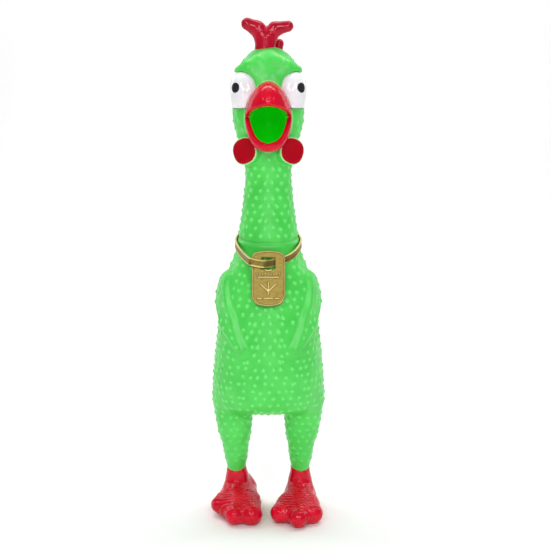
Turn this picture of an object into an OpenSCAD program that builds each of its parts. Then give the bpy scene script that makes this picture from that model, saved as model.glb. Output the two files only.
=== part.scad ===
// Rubber chicken: a hollow squeeze toy of soft vinyl, with a reed noise maker in its neck.
// Millimetres. +Z is up, the bird faces -Y, and the origin is on the ground midway between its feet.
// The soft skin is cut into sections where it bends, each section turning on a ball inside a cup.

/* [Body] */
// Width across the hips
body_w = 92; // [88:1:94]
// Depth of the belly in front of the neck's axis
belly_d = 43; // [41:0.5:44]
// Depth of the back behind the neck's axis
back_d = 34; // [32:0.5:36]
// How far the tail reaches behind the neck's axis
tail_reach = 54; // [48:0.5:55]
// Thickness of the vinyl wall
wall = 2.4; // [2:0.1:2.6]
// Gap between skin sections that move against each other
flex_gap = 0.4; // [0.3:0.05:0.5]

/* [Neck and head] */
// Height of the point that the neck bends about
neck_z = 236; // [235:0.5:237]
// Radius of the ball at the foot of the neck
neck_ball_r = 22.4; // [22:0.1:22.8]
// Height of the point that the head tilts about
head_z = 288; // [287:0.5:289]
// Radius of the ball at the top of the neck
head_ball_r = 17.4; // [17:0.1:17.6]

/* [Eyes] */
// Radius of an eye seen from above
eye_r = 14.5; // [14:0.1:15]
// Half height of an eye
eye_half_h = 21.5; // [19:0.5:22]
// Radius of a pupil
pupil_r = 4; // [3:0.1:4.5]
// Angle of a pupil outwards from straight ahead
gaze = 50; // [45:1:55]

/* [Legs and feet] */
// Distance of each leg's axis from the middle
leg_x = 26.5; // [26:0.1:27]
// Height of the point that a leg swings about
hip_z = 84; // [83:0.5:85]
// Radius of the ball at the top of a leg
hip_ball_r = 14.6; // [14:0.1:15]
// Height of the joint between leg and foot
ankle_z = 34; // [32:0.5:36]
// Radius of the ankle
ankle_r = 7.8; // [7.4:0.1:8.2]
// Radius of the spigot that holds a foot on its leg
spigot_r = 5.2; // [4.8:0.1:5.4]

/* [Belly wall] */
// Half width of the part of the belly that is pressed in
press_rx = 20; // [16:1:21]
// Half height of the part of the belly that is pressed in
press_rz = 24; // [20:1:25]
// Height of its centre
press_z = 115; // [114:0.5:118]

/* [Collar and tag] */
// Height of the collar band
band_h = 6; // [4:0.5:6.5]
// Thickness of the collar band
band_t = 1.6; // [1.2:0.1:1.8]
// Width of the tag
tag_w = 26; // [22:0.5:28]
// Length of the tag
tag_l = 43.5; // [40:0.5:44]
// Thickness of the tag
tag_t = 2; // [1.6:0.1:2.2]

/* [Noise maker] */
// Outer radius of the barrel
barrel_r = 10.5; // [10:0.1:11]
// Length of the barrel
barrel_l = 30; // [28:1:32]
// Radius of the reed block
block_r = 4; // [3.6:0.1:4.2]
// Thickness of the reed tongue
reed_t = 0.35; // [0.3:0.05:0.4]

/* [Hidden] */

GREEN = [0.30, 0.87, 0.33];
RED = [0.80, 0.05, 0.14];
WHITE = [0.95, 0.95, 0.96];
BLACK = [0.04, 0.04, 0.04];
GOLD = [0.66, 0.55, 0.22];
IVORY = [0.90, 0.89, 0.84];

fit = 0.05;           // gap left between pieces that are glued or pressed together
far = 200;            // longer than anything on the bird, for cutting

// Cross-sections of the torso: height, then shares of the half width, the belly's depth and the back's depth
torso_sections = [
    [80, 0.20, 0.24, 0.22], [83, 0.50, 0.44, 0.45], [87, 0.84, 0.64, 0.68], [93, 0.955, 0.80, 0.84],
    [102, 0.99, 0.92, 0.95], [112, 1.0, 0.985, 1.0], [128, 0.965, 1.0, 1.0], [145, 0.92, 0.985, 0.97],
    [163, 0.875, 0.94, 0.92], [178, 0.86, 0.88, 0.88], [191, 0.80, 0.80, 0.83], [203, 0.69, 0.72, 0.79],
    [214, 0.595, 0.635, 0.76], [221, 0.55, 0.58, 0.74], [228, 0.53, 0.56, 0.72]
];
torso_heights = concat([80, 81.5, 83, 85, 87.5], [for (i = [0:29]) 90.5 + i * (228 - 90.5) / 29]);
torso_sides = 72;
hollow_heights = concat([83, 87], [for (i = [0:9]) 92 + i * (228 - 92) / 9]);
hollow_sides = 44;

// Cross-sections of the head: height, half width, depth in front and depth behind
head_sections = [
    [292.5, 19.2, 19.2, 19.2], [300, 21.2, 21, 20.5], [309, 23.3, 22.4, 22], [320, 26.5, 23, 23.4],
    [331, 28.2, 23.4, 24], [345, 26.8, 23, 24], [356, 24.4, 20.6, 22.4], [364, 20.4, 16.8, 19],
    [370.6, 15.6, 12.8, 14.6], [375.3, 9.8, 8.4, 9.4], [377.8, 4, 3.6, 4]
];
head_heights = [
    292.5, 297, 302, 308, 315, 322, 330, 338, 346, 352, 357, 361.5, 365.5, 369.5, 372.7, 375.3, 377, 377.8
];
head_sides = 48;

// Radii up the neck between its two balls, as height and radius
neck_radii = [[245, 20.9], [256, 19.6], [270, 18.6], [280, 17.8]];

// Radii down a leg below its ball, as height and radius
leg_radii = [[75, 14], [65, 13.1], [55, 10.6], [44, 9], [38, 8.2]];

// The folded wing is three discs laid on the torso and joined: degrees from the breastbone, height, radius
wing_discs = [[77, 188, 15.5], [53, 165, 9.8], [30, 144, 5.2]];
wing_rise = 3.6;               // how far a wing stands off the torso
wing_edge = 6;                 // width of a wing's rounded edge
mm_per_degree = 0.7;           // length round the torso of one degree

eye_at = [15.3, -9, 339.4];      // centre of the left eye; the right eye is its mirror image
lid_z = 330.8;                 // height of the lower lid, which cuts the eye off flat
mouth_split_z = 323.7;         // height of the corners of the mouth
seat_z = 262;                  // height of the shoulder that the noise maker's flange rests on
seat_l = 10;                   // length of the bore that grips the barrel
barrel_wall = 1.5;
barrel_z = 240;                // bottom of the barrel
block_flat = 1.4;              // distance of the reed block's flat face from its axis
reed_root_z = 246.5;           // height of the line that the reed bends about
tag_tilt = 16;                 // the tag leans with the chest, its lower end forwards
slot_drop = 10;                // how far below the tag's upper edge its slot is centred
slot_w = 10;
slot_h = 9;
tag_gap = 4.4;                  // from the chest to the tag's back at the slot
band_front_z = 212;            // height of the collar at the tag
band_side_z = 223.5;             // height of the collar at the sides of the neck
band_back_z = 234;             // height of the collar behind the neck
band_gap = 0.9;                // from the skin to the collar
band_steps = 96;               // pieces in the collar's path round the neck

// One column of a table of sections, as a smooth curve through its rows
function segment(rows, z) =
    min(len(rows) - 2, max([for (i = [0:len(rows) - 1]) rows[i][0] <= z ? i : 0]));
function slope(rows, k, i) =
    let (a = rows[max(i - 1, 0)], b = rows[min(i + 1, len(rows) - 1)])
    (b[k] - a[k]) / (b[0] - a[0]);
function smooth(rows, k, z) =
    let (i = segment(rows, z), p = rows[i], q = rows[i + 1], h = q[0] - p[0], t = (z - p[0]) / h)
    (2 * pow(t, 3) - 3 * pow(t, 2) + 1) * p[k] + (pow(t, 3) - 2 * pow(t, 2) + t) * h * slope(rows, k, i)
        + (3 * pow(t, 2) - 2 * pow(t, 3)) * q[k] + (pow(t, 3) - pow(t, 2)) * h * slope(rows, k, i + 1);

// Half width of the torso, depth of its chest and depth of its back, at a height
function half_width(z) = body_w / 2 * smooth(torso_sections, 1, z);
function chest_depth(z) = belly_d * smooth(torso_sections, 2, z);
function back_depth(z) = back_d * smooth(torso_sections, 3, z);

// How far a point lies inside the outline of a wing, in millimetres
function inside_wing(p) = max([
    for (i = [0:len(wing_discs) - 2])
        let (
            a = wing_discs[i], b = wing_discs[i + 1],
            from = [a[0] * mm_per_degree, a[1]], along = [b[0] * mm_per_degree, b[1]] - from,
            t = max(0, min(1, ((p - from) * along) / (along * along)))
        )
        a[2] + t * (b[2] - a[2]) - norm(p - from - t * along)
]);
function wing_height(degrees, z) =
    let (t = max(0, min(1, inside_wing([degrees * mm_per_degree, z]) / wing_edge)))
    wing_rise * t * t * (3 - 2 * t);

// One ring of a skin. The angle runs from the bird's left side, and the front is at -90 degrees.
function ring_points(rx, front, back, z, n, winged = false) = [
    for (i = [0:n - 1])
        let (
            a = 360 * i / n,
            p = [rx * cos(a), (sin(a) < 0 ? front : back) * sin(a)],
            round_from_front = acos(max(-1, min(1, -sin(a)))),
            out = winged ? 1 + wing_height(round_from_front, z) / norm(p) : 1
        )
        [p[0] * out, p[1] * out, z]
];
function torso_loft() = [
    for (z = torso_heights)
        ring_points(half_width(z), chest_depth(z), back_depth(z), z, torso_sides, winged = true)
];
function torso_hollow_loft() = [
    for (z = hollow_heights)
        ring_points(half_width(z) - wall, chest_depth(z) - wall, back_depth(z) - wall, z, hollow_sides)
];
function head_loft(inset = 0) = [
    for (z = head_heights)
        let (r = [for (k = [1:3]) smooth(head_sections, k, z) - inset])
        ring_points(r[0], r[1], r[2], z, head_sides)
];

// A closed solid through a stack of rings. An arched ring runs out along an arch and back inside it.
module loft(rings, arched = false) {
    n = len(rings[0]);
    top = len(rings) - 1;
    first_cap = arched
        ? [for (j = [0:n / 2 - 2]) each [[j, j + 1, n - 2 - j], [j, n - 2 - j, n - 1 - j]]]
        : [[for (j = [0:n - 1]) j]];
    last_cap = [for (face = first_cap) [for (j = [len(face) - 1:-1:0]) top * n + face[j]]];
    sides = [
        for (i = [0:top - 1], j = [0:n - 1])
            let (a = i * n + j, b = i * n + (j + 1) % n)
            each [[a, a + n, b], [b, a + n, b + n]]
    ];
    polyhedron([for (r = rings) each r], concat(first_cap, sides, last_cap));
}

// Round lobes in a row, each blended into the next: a list of [x, y, z, radius]
module lobes(list, fn = 24) {
    for (i = [0:len(list) - 2])
        hull() {
            lobe(list[i], fn);
            lobe(list[i + 1], fn);
        }
}

module lobe(p, fn = 24) {
    translate([p[0], p[1], p[2]]) sphere(p[3], $fn = fn);
}

module both_sides() {
    children();
    mirror([1, 0, 0]) children();
}

// ---------------------------------------------------------------- torso

tail_lobes = [[0, 26, 104, 10], [0, 38, 116, 6], [0, tail_reach - 4, 127, 4]];

module press_outline(gap = 0) {
    translate([0, 0, press_z])
        rotate([90, 0, 0])
            linear_extrude(far)
                scale([(press_rx - gap) / press_rz, (press_rz - gap) / press_rz])
                    circle(press_rz, $fn = 60);
}

// Below this line the legs need room, except in the middle
module leg_room() {
    rim_z = hip_z + (hip_ball_r + flex_gap) * sin(22);
    room_x = 11;
    both_sides() {
        translate([leg_x, 0, hip_z]) sphere(hip_ball_r + flex_gap, $fn = 48);
        translate([room_x, -far / 2, 0]) cube([far, far, rim_z]);
    }
}

module torso_outside() {
    loft(torso_loft());
    lobes(tail_lobes);
}

// The hollow stops short of the neck, where the cup for the neck's ball stands
module torso_hollow() {
    cup_floor_z = 214;
    intersection() {
        loft(torso_hollow_loft());
        translate([-far / 2, -far / 2, 90]) cube([far, far, cup_floor_z - 90]);
    }
}

module torso_shell() {
    throat_r = 13;
    color(GREEN)
        difference() {
            torso_outside();
            torso_hollow();
            translate([0, 0, neck_z]) sphere(neck_ball_r + flex_gap, $fn = 64);
            translate([0, 0, 205]) cylinder(r = throat_r, h = 30, $fn = 48);
            leg_room();
            press_outline();
        }
}

module belly_wall() {
    edge_gap = 0.5;
    color(GREEN)
        intersection() {
            difference() {
                loft(torso_loft());
                loft(torso_hollow_loft());
                leg_room();
            }
            press_outline(edge_gap);
        }
}

// ---------------------------------------------------------------- neck

// Half of the neck's outline, from the lower ball up to the upper one, drawn in by an inset
function neck_side(inset) = concat(
    [for (a = [-46:5.75:0]) [(neck_ball_r - inset) * cos(a), neck_z + (neck_ball_r - inset) * sin(a)]],
    [for (p = neck_radii) [p[1] - inset, p[0]]],
    [for (a = [0:6:48]) [(head_ball_r - inset) * cos(a), head_z + (head_ball_r - inset) * sin(a)]]
);

module neck_shell() {
    inside = neck_side(wall);
    color(GREEN)
        union() {
            rotate_extrude($fn = 96)
                polygon(concat(neck_side(0), [for (i = [len(inside) - 1:-1:0]) inside[i]]));
            difference() {
                translate([0, 0, seat_z - seat_l]) cylinder(r = 17.6, h = seat_l, $fn = 96);
                translate([0, 0, seat_z - seat_l - 1])
                    cylinder(r = barrel_r + fit, h = seat_l + 2, $fn = 96);
            }
        }
}

// ---------------------------------------------------------------- head

// An egg standing upright, cut off flat at the lower lid
module eye_egg(grow = 0) {
    half = [
        for (a = [-90:7.5:90])
            [max(0, (eye_r + grow) * cos(a)), (eye_half_h + grow) * sin(a)]
    ];
    translate(eye_at)
        difference() {
            rotate_extrude($fn = 72) polygon(half);
            translate([0, 0, lid_z - grow - eye_at[2] - far]) cylinder(r = far, h = far);
        }
}

// The opening of the mouth, a rounded triangle that points down
module mouth_way() {
    hull()
        for (p = [[-10.5, 323, 4], [10.5, 323, 4], [0, 329, 5.5], [0, 309.5, 4]])
            translate([p[0], 0, p[1]]) rotate([90, 0, 0]) cylinder(r = p[2], h = far, $fn = 32);
}

brow_lobes = [[8, -8, 364.5, 8], [15.5, -10, 361.8, 7.0], [22.6, -8, 359, 5.6]];

module head_shell() {
    color(GREEN)
        difference() {
            union() {
                loft(head_loft());
                both_sides() lobes(brow_lobes);
            }
            loft(head_loft(wall));
            translate([0, 0, head_z]) sphere(head_ball_r + flex_gap, $fn = 64);
            both_sides() eye_egg(fit);
            mouth_way();
            translate([0, 0, 360]) cylinder(r = comb_peg_r + fit, h = 30, $fn = 32);
            translate([rear_at[0], rear_at[1], 355]) cylinder(r = rear_peg_r + fit, h = 30, $fn = 32);
            both_sides() wattle_peg(fit);
        }
}

comb_peg_r = 3.5;
rear_peg_r = 1.8;
rear_at = [9.5, 9];
comb_left = [[0, 0, 377, 8.5], [-4.5, 0, 387, 7.2], [-9.5, 0, 393, 6], [-16, 0, 394.6, 5.4]];
comb_right = [[0, 0, 377, 8.5], [5.5, 0, 386.5, 6.6], [11, 0, 391.6, 5.4], [18, 0, 391.8, 4.6]];

module comb() {
    color(RED)
        union() {
            difference() {
                union() {
                    lobes(comb_left);
                    lobes(comb_right);
                }
                loft(head_loft(-fit));
                translate([rear_at[0], rear_at[1], 360]) cylinder(r = 5.2, h = 40, $fn = 32);
            }
            translate([0, 0, 368]) cylinder(r = comb_peg_r, h = 12, $fn = 32);
        }
}

module comb_rear_lobe() {
    color(RED)
        union() {
            difference() {
                lobes([[rear_at[0], rear_at[1], 372, 3.6], [rear_at[0], rear_at[1], 381, 4.8]]);
                loft(head_loft(-fit));
            }
            translate([rear_at[0], rear_at[1], 363]) cylinder(r = rear_peg_r, h = 14, $fn = 32);
        }
}

// Rings of a beak half, from inside the face to the tip: distance forward, half width, lip and crown heights
upper_rings = [
    [10, 18.2, 324, 351.5], [20, 18.2, 324, 351.5], [27, 17, 325, 351], [33, 14.6, 327, 349.2],
    [38, 11.8, 329, 346.4], [42, 8.6, 331, 343.6], [45, 5, 332.6, 340.8], [46.5, 2.2, 333.6, 338.4]
];
lower_rings = [
    [10, 18.2, 323.4, 297.2], [19, 18.2, 323.4, 297.2], [24, 17.3, 319.2, 297.2], [28, 15.8, 315, 297.3],
    [32, 13.6, 310.2, 297.6], [35.5, 10.6, 306.8, 298.2], [38, 7, 305.2, 299.2], [39.5, 3.8, 304.4, 300.6]
];
beak_wall = 4.2;
arch_steps = 12;

// An arch of even thickness from one corner of the mouth over the crown to the other, and back inside
function arch(r) = [
    for (side = [0, 1], i = [0:arch_steps])
        let (
            rise = r[3] - r[2],
            onward = (side == 0) == (rise > 0),
            a = 180 * (onward ? i : arch_steps - i) / arch_steps,
            t = min(beak_wall, r[1] * 0.6) * side,
            up = rise - sign(rise) * min(t, abs(rise) * 0.6)
        )
        [(r[1] - t) * cos(a), -r[0], r[2] + (side == 0 ? rise : up) * sin(a)]
];

// The room that a half of the beak takes up, hollow and all
function outer_arch(r, gap) = [
    for (i = [0:arch_steps])
        let (rise = r[3] - r[2], a = 180 * (rise > 0 ? i : arch_steps - i) / arch_steps)
        [(r[1] + gap) * cos(a), -r[0], r[2] + (rise + sign(rise) * gap) * sin(a)]
];

module beak_half(rings) {
    color(RED)
        difference() {
            loft([for (r = rings) arch(r)], arched = true);
            loft(head_loft(-fit));
        }
}

module upper_beak() { beak_half(upper_rings); }
module lower_beak() { beak_half(lower_rings); }

wattle_at = [18, -17.5, 297.8];
wattle_turn = 36;

module place_wattle() {
    translate(wattle_at) rotate([0, 0, wattle_turn]) rotate([90, 0, 0]) children();
}

module wattle_peg(grow = 0) {
    place_wattle() translate([0, 0, -9]) cylinder(r = 2 + grow, h = 8, $fn = 32);
}

// A thick oval button, long from its outer top to its inner bottom
module wattle() {
    rim_r = 2.2;
    round_r = 9.6;
    stretch = 0.6;
    difference() {
        place_wattle()
            rotate([0, 0, 20])
                hull()
                    for (y = [-stretch, stretch])
                        translate([0, y, 0])
                            rotate_extrude($fn = 32) translate([round_r - rim_r, 0]) circle(rim_r, $fn = 16);
        loft(head_loft(-fit));
        loft([for (r = lower_rings) outer_arch(r, 0.3)]);
    }
    wattle_peg();
}

module left_wattle() { color(RED) wattle(); }
module right_wattle() { color(RED) mirror([1, 0, 0]) wattle(); }

// Turns children to face out of the eye along the gaze
module at_pupil(depth) {
    level = 6.8;
    out = (eye_r - 0.9) - depth;
    translate(eye_at + [0, 0, level])
        rotate([0, 0, gaze]) translate([0, -out, 0]) rotate([90, 0, 0]) children();
}

module eye() {
    eye_wall = 2.6;
    difference() {
        intersection() {
            difference() {
                eye_egg();
                eye_egg(-eye_wall);
            }
            translate([7, -far, 300]) cube([far, far + eye_at[1] + 8, 100]);
        }
        at_pupil(1) cylinder(r = pupil_r + fit, h = 10, $fn = 48);
        loft([for (r = upper_rings) outer_arch(r, fit)]);
    }
}

module left_eye() { color(WHITE) eye(); }
module right_eye() { color(WHITE) mirror([1, 0, 0]) eye(); }

module pupil() {
    at_pupil(1 - fit) cylinder(r = pupil_r, h = 1.8, $fn = 48);
}

module left_pupil() { color(BLACK) pupil(); }
module right_pupil() { color(BLACK) mirror([1, 0, 0]) pupil(); }

// ---------------------------------------------------------------- legs and feet

function leg_side(inset) = concat(
    [for (a = [48:-6:0]) [(hip_ball_r - inset) * cos(a), hip_z + (hip_ball_r - inset) * sin(a)]],
    [for (p = leg_radii) [p[1] - inset, p[0]]],
    [[ankle_r - inset, ankle_z]]
);

module leg_shell(x) {
    spigot_l = 8;
    inside = leg_side(wall);
    outline = concat(
        leg_side(0),
        [[spigot_r, ankle_z], [spigot_r, ankle_z - spigot_l], [spigot_r - 1.6, ankle_z - spigot_l]],
        [[spigot_r - 1.6, ankle_z + 2]],
        [for (i = [len(inside) - 2:-1:0]) inside[i]]
    );
    color(GREEN) translate([x, 0, 0]) rotate_extrude($fn = 72) polygon(outline);
}

module left_leg_shell() { leg_shell(leg_x); }
module right_leg_shell() { leg_shell(-leg_x); }

// Toes as [x, y, z of the tip's centre, radius], measured from the leg's axis at the ground
left_toes = [[-17.3, -36, 7.6, 7.6], [-2.5, -46.5, 7.4, 7.4], [9, -36.5, 7.6, 7.6]];
left_spur = [0, 15, 15, 4];
right_toes = [[-13, -19, 9, 6.6], [-0.8, -39, 7.4, 7.4], [13.2, -38.6, 7.2, 7.2]];
right_spur = [11, 12, 17, 4];
instep = [0, -3, 12, 9];
sole_h = 1;

// The flat sole under a toe or the heel
module sole(x, y, r) {
    translate([x, y, 0]) cylinder(r = r, h = sole_h, $fn = 24);
}

// A toe, or the web beside it when it is drawn back towards the ankle
module toe(t, share = 1) {
    r = t[3] * (share < 1 ? 0.85 : 1);
    x = t[0] * share;
    y = t[1] * share;
    lobe([x, y, max(t[2] * r / t[3], r), r]);
    sole(x, y, r * 0.6);
}

module foot(x, toes, spur) {
    heel_r = 8;
    web = 0.66;
    cuff_z = 6;
    cuff_r = 11;
    color(RED)
        translate([x, 0, 0])
            difference() {
                union() {
                    for (t = toes)
                        hull() {
                            lobe(instep);
                            sole(0, 0, heel_r);
                            toe(t);
                        }
                    for (i = [0, 1])
                        hull() {
                            lobe(instep);
                            sole(0, 0, heel_r);
                            toe(toes[i], web);
                            toe(toes[i + 1], web);
                        }
                    hull() {
                        lobe(instep);
                        lobe(spur);
                    }
                    translate([0, 0, cuff_z])
                        cylinder(r1 = cuff_r, r2 = ankle_r, h = ankle_z - cuff_z - fit, $fn = 64);
                }
                translate([0, 0, ankle_z - 9]) cylinder(r = spigot_r + fit, h = 10, $fn = 64);
            }
}

module left_foot() { foot(leg_x, left_toes, left_spur); }
module right_foot() { foot(-leg_x, right_toes, right_spur); }

// ---------------------------------------------------------------- collar and tag

tag_y = -(chest_depth(band_front_z) + tag_gap + tag_t / 2);   // middle of the tag's thickness at its slot

// Distance of the skin from the neck's axis in direction a at height z
function skin_r(a, z) =
    let (depth = sin(a) < 0 ? chest_depth(z) : back_depth(z))
    1 / norm([cos(a) / half_width(z), sin(a) / depth]);

// Height of the collar: down to the tag in front, up behind the neck
function band_height(a) = sin(a) < 0
    ? band_side_z - (band_side_z - band_front_z) * pow(-sin(a), 1.5)
    : band_side_z + (band_back_z - band_side_z) * pow(sin(a), 1.2);

// On the bird's right the collar leaves the chest and runs straight to the tag's edge, over the tag, and then
// back through its slot. These are the points of that stretch: x, then y
over_y = tag_y - tag_t / 2 - 2.7;
under_y = -(chest_depth(band_front_z) + band_gap);
over_tag = [
    [-25.2, 0], [-24.3, -10.4], [-tag_w / 2 - 0.8, over_y], [-3.4, over_y], [3.4, under_y], [3.5, 0]
];

// Middle of the band's inner face
function band_point(a) =
    let (
        z = band_height(a),
        r = skin_r(a, min(z, 227)) + band_gap,
        x = r * cos(a)
    )
    [x, sin(a) < 0 ? min(r * sin(a), lookup(x, over_tag)) : r * sin(a), z];

module collar_band() {
    path = [for (i = [0:band_steps - 1]) band_point(-90 + 360 * (i + 0.5) / band_steps)];
    n = len(path);
    rings = [
        for (i = [0:n - 1])
            let (
                d = path[(i + 1) % n] - path[(i + n - 1) % n],
                out = [d[1], -d[0], 0] / norm([d[0], d[1]]),
                up = [0, 0, band_h / 2]
            )
            [path[i] - up, path[i] - up + out * band_t, path[i] + up + out * band_t, path[i] + up]
    ];
    faces = [
        for (i = [0:n - 1], j = [0:3])
            let (next = (i + 1) % n * 4, k = (j + 1) % 4)
            each [[i * 4 + j, next + j, i * 4 + k], [i * 4 + k, next + j, next + k]]
    ];
    color(GOLD) polyhedron([for (r = rings) each r], faces);
}

module tag_outline(inset = 0) {
    top_r = tag_w * 0.25;
    foot_r = tag_w * 0.34;
    hull() {
        for (s = [-1, 1]) {
            translate([s * (tag_w / 2 - top_r), tag_l - top_r]) circle(top_r - inset, $fn = 48);
            translate([s * (tag_w / 2 - foot_r), foot_r]) circle(foot_r - inset, $fn = 48);
        }
    }
}

module tag() {
    rim_w = 1.2;
    relief = 0.5;
    bars = [[9, 15], [14, 17], [20, 11]];
    bar_h = 1.6;
    color(GOLD)
        translate([0, tag_y, band_front_z])
            rotate([90 - tag_tilt, 0, 0])
                translate([0, slot_drop - tag_l, -tag_t / 2])
                    difference() {
                        union() {
                            linear_extrude(tag_t) tag_outline();
                            translate([0, 0, tag_t])
                                linear_extrude(relief)
                                    difference() {
                                        tag_outline();
                                        tag_outline(rim_w);
                                    }
                            for (bar = bars)
                                translate([-bar[1] / 2, bar[0], tag_t]) cube([bar[1], bar_h, relief]);
                        }
                        translate([-slot_w / 2, tag_l - slot_drop - slot_h / 2, -1])
                            cube([slot_w, slot_h, tag_t + 3]);
                    }
}

// ---------------------------------------------------------------- noise maker

module ring(outer, inner, z, h) {
    translate([0, 0, z])
        difference() {
            cylinder(r = outer, h = h, $fn = 96);
            translate([0, 0, -1]) cylinder(r = inner, h = h + 2, $fn = 96);
        }
}

module squeaker_barrel() {
    flange_r = barrel_r + 2.5;
    color(IVORY)
        union() {
            ring(barrel_r, barrel_r - barrel_wall, barrel_z, barrel_l);
            ring(flange_r, barrel_r - 0.5, seat_z + fit, 2.2);
        }
}

module squeaker_cap() {
    bore = barrel_r - barrel_wall;
    top_z = barrel_z + barrel_l;
    hole_r = 1.3;
    color(IVORY)
        difference() {
            union() {
                translate([0, 0, top_z + fit]) cylinder(r = barrel_r, h = 1.8, $fn = 96);
                ring(bore - fit, bore - 1.5, top_z - 5, 5.5);
            }
            for (i = [0:5])
                rotate([0, 0, 60 * i]) translate([4.6, 0, top_z - 6]) cylinder(r = hole_r, h = 10, $fn = 32);
            translate([0, 0, top_z - 6]) cylinder(r = hole_r, h = 10, $fn = 32);
        }
}

module reed_carrier() {
    color(IVORY) ring(barrel_r - barrel_wall - fit, block_r + fit, barrel_z, 3);
}

// A round plug with a flat face, a blind bore up its middle and a slot from the flat into the bore
module reed_block() {
    block_l = 24;
    bore_r = 2.4;
    slot_w = 2.6;
    color(IVORY)
        difference() {
            translate([0, 0, barrel_z]) cylinder(r = block_r, h = block_l, $fn = 64);
            translate([-block_r, -block_r - block_flat, barrel_z + 3]) cube([2 * block_r, block_r, block_l]);
            translate([0, 0, barrel_z - 1]) cylinder(r = bore_r / 2, h = block_l - 1, $fn = 48);
            translate([-slot_w / 2, -block_r, reed_root_z + 2]) cube([slot_w, block_r, 11]);
        }
}

reed_w = 4.4;
reed_y = -block_flat - 0.3;    // the reed's back face, just clear of the block's flat

// A band round the block, filled in front of the flat so that it holds the reed's root there
module reed_clamp() {
    clamp_h = 2.8;
    slack = 0.3;
    lowest = barrel_z + 3.2;
    color(IVORY)
        difference() {
            translate([0, 0, lowest]) cylinder(r = block_r + 1.6, h = clamp_h, $fn = 64);
            intersection() {
                translate([0, 0, lowest - 1]) cylinder(r = block_r + fit, h = clamp_h + 2, $fn = 64);
                translate([-far / 2, reed_y - reed_t - slack, 0]) cube([far, far, far * 2]);
            }
        }
}

module reed_tongue() {
    color(WHITE)
        translate([-reed_w / 2, reed_y - reed_t, reed_root_z - 2.8]) cube([reed_w, reed_t, 18]);
}

torso_shell();
belly_wall();
neck_shell();
head_shell();
left_leg_shell();
right_leg_shell();
left_foot();
right_foot();
comb();
comb_rear_lobe();
upper_beak();
lower_beak();
left_wattle();
right_wattle();
left_eye();
right_eye();
left_pupil();
right_pupil();
collar_band();
tag();
squeaker_barrel();
squeaker_cap();
reed_carrier();
reed_block();
reed_clamp();
reed_tongue();
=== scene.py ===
"""Rubber chicken: the skin, paint and trim that stand for the CAD model's soft solids, in the CAD's frame.

Shapes are worked out in millimetres as distance fields, meshed, and scaled to metres as they become pieces.
+Z is up and the bird faces -Y. "Left" is the bird's own left, +X."""
import math
from collections import namedtuple

import bpy
import numpy as np
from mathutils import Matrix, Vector
from mathutils.bvhtree import BVHTree


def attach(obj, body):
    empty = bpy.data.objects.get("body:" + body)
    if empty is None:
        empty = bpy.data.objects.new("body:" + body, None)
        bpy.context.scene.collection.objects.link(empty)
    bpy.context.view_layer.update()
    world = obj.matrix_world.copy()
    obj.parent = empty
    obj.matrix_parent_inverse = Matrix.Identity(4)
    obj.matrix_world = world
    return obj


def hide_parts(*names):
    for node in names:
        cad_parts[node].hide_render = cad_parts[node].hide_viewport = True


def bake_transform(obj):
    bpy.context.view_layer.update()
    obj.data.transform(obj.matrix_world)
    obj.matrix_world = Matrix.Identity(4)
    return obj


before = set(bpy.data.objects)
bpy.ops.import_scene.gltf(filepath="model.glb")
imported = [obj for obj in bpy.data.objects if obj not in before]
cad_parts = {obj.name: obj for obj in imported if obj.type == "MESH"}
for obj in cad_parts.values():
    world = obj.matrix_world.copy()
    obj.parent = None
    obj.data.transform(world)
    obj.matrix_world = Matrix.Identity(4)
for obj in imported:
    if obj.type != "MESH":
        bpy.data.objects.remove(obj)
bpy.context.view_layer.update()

Points = namedtuple("Points", "x y z")
MM = 0.001
rng = np.random.default_rng(11)

# ---------------------------------------------------------------- distance fields


class Grid:
    """A box of sample points, a step apart. Fields are arrays over it, below zero inside a shape."""

    def __init__(self, low, high, step):
        self.low, self.step = np.array(low, float), step
        axes = [np.arange(low[i], high[i] + step, step, dtype=np.float32) for i in range(3)]
        self.x, self.y, self.z = np.meshgrid(*axes, indexing="ij", sparse=True)
        self.shape = tuple(len(a) for a in axes)

    def full(self, field):
        return np.broadcast_to(field, self.shape)


def curve(rows, column, z):
    """One column of a table as a smooth curve through its rows; the first column is where each row is."""
    rows = np.array(rows, float)
    at, v = rows[:, 0], rows[:, column]
    inner = (v[2:] - v[:-2]) / (at[2:] - at[:-2])
    slope = np.concatenate([[(v[1] - v[0]) / (at[1] - at[0])], inner, [(v[-1] - v[-2]) / (at[-1] - at[-2])]])
    z = np.clip(z, at[0], at[-1])
    i = np.clip(np.searchsorted(at, z, side="right") - 1, 0, len(at) - 2)
    h = at[i + 1] - at[i]
    t = (z - at[i]) / h
    return np.float32(
        (2 * t**3 - 3 * t**2 + 1) * v[i] + (t**3 - 2 * t**2 + t) * h * slope[i]
        + (3 * t**2 - 2 * t**3) * v[i + 1] + (t**3 - t**2) * h * slope[i + 1]
    )


def join(a, b, k):
    """Both shapes, blended over a fillet of about k."""
    if not k:
        return np.minimum(a, b)
    h = np.maximum(k - np.abs(a - b), 0) / k
    return np.minimum(a, b) - h * h * k / 4


def meet(a, b, k=0.0):
    """What lies in both shapes, with its edge rounded by about k."""
    return -join(-a, -b, k)


def cut(a, b, k):
    """The first shape without the second."""
    return meet(a, -b, k)


def ball(g, at, r):
    return np.sqrt((g.x - at[0]) ** 2 + (g.y - at[1]) ** 2 + (g.z - at[2]) ** 2) - r


def egg(g, at, radii, power=2.0):
    """An ellipsoid, or with a power above 2 a fuller, squarer one."""
    x, y, z = (np.abs(v - at[i]) / radii[i] for i, v in enumerate((g.x, g.y, g.z)))
    near = (x**power + y**power + z**power) ** (1 / power)
    rest = power - 1
    steep = np.sqrt((x**rest / radii[0]) ** 2 + (y**rest / radii[1]) ** 2 + (z**rest / radii[2]) ** 2)
    return near**rest * (near - 1) / np.maximum(steep, 1e-6)


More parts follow.
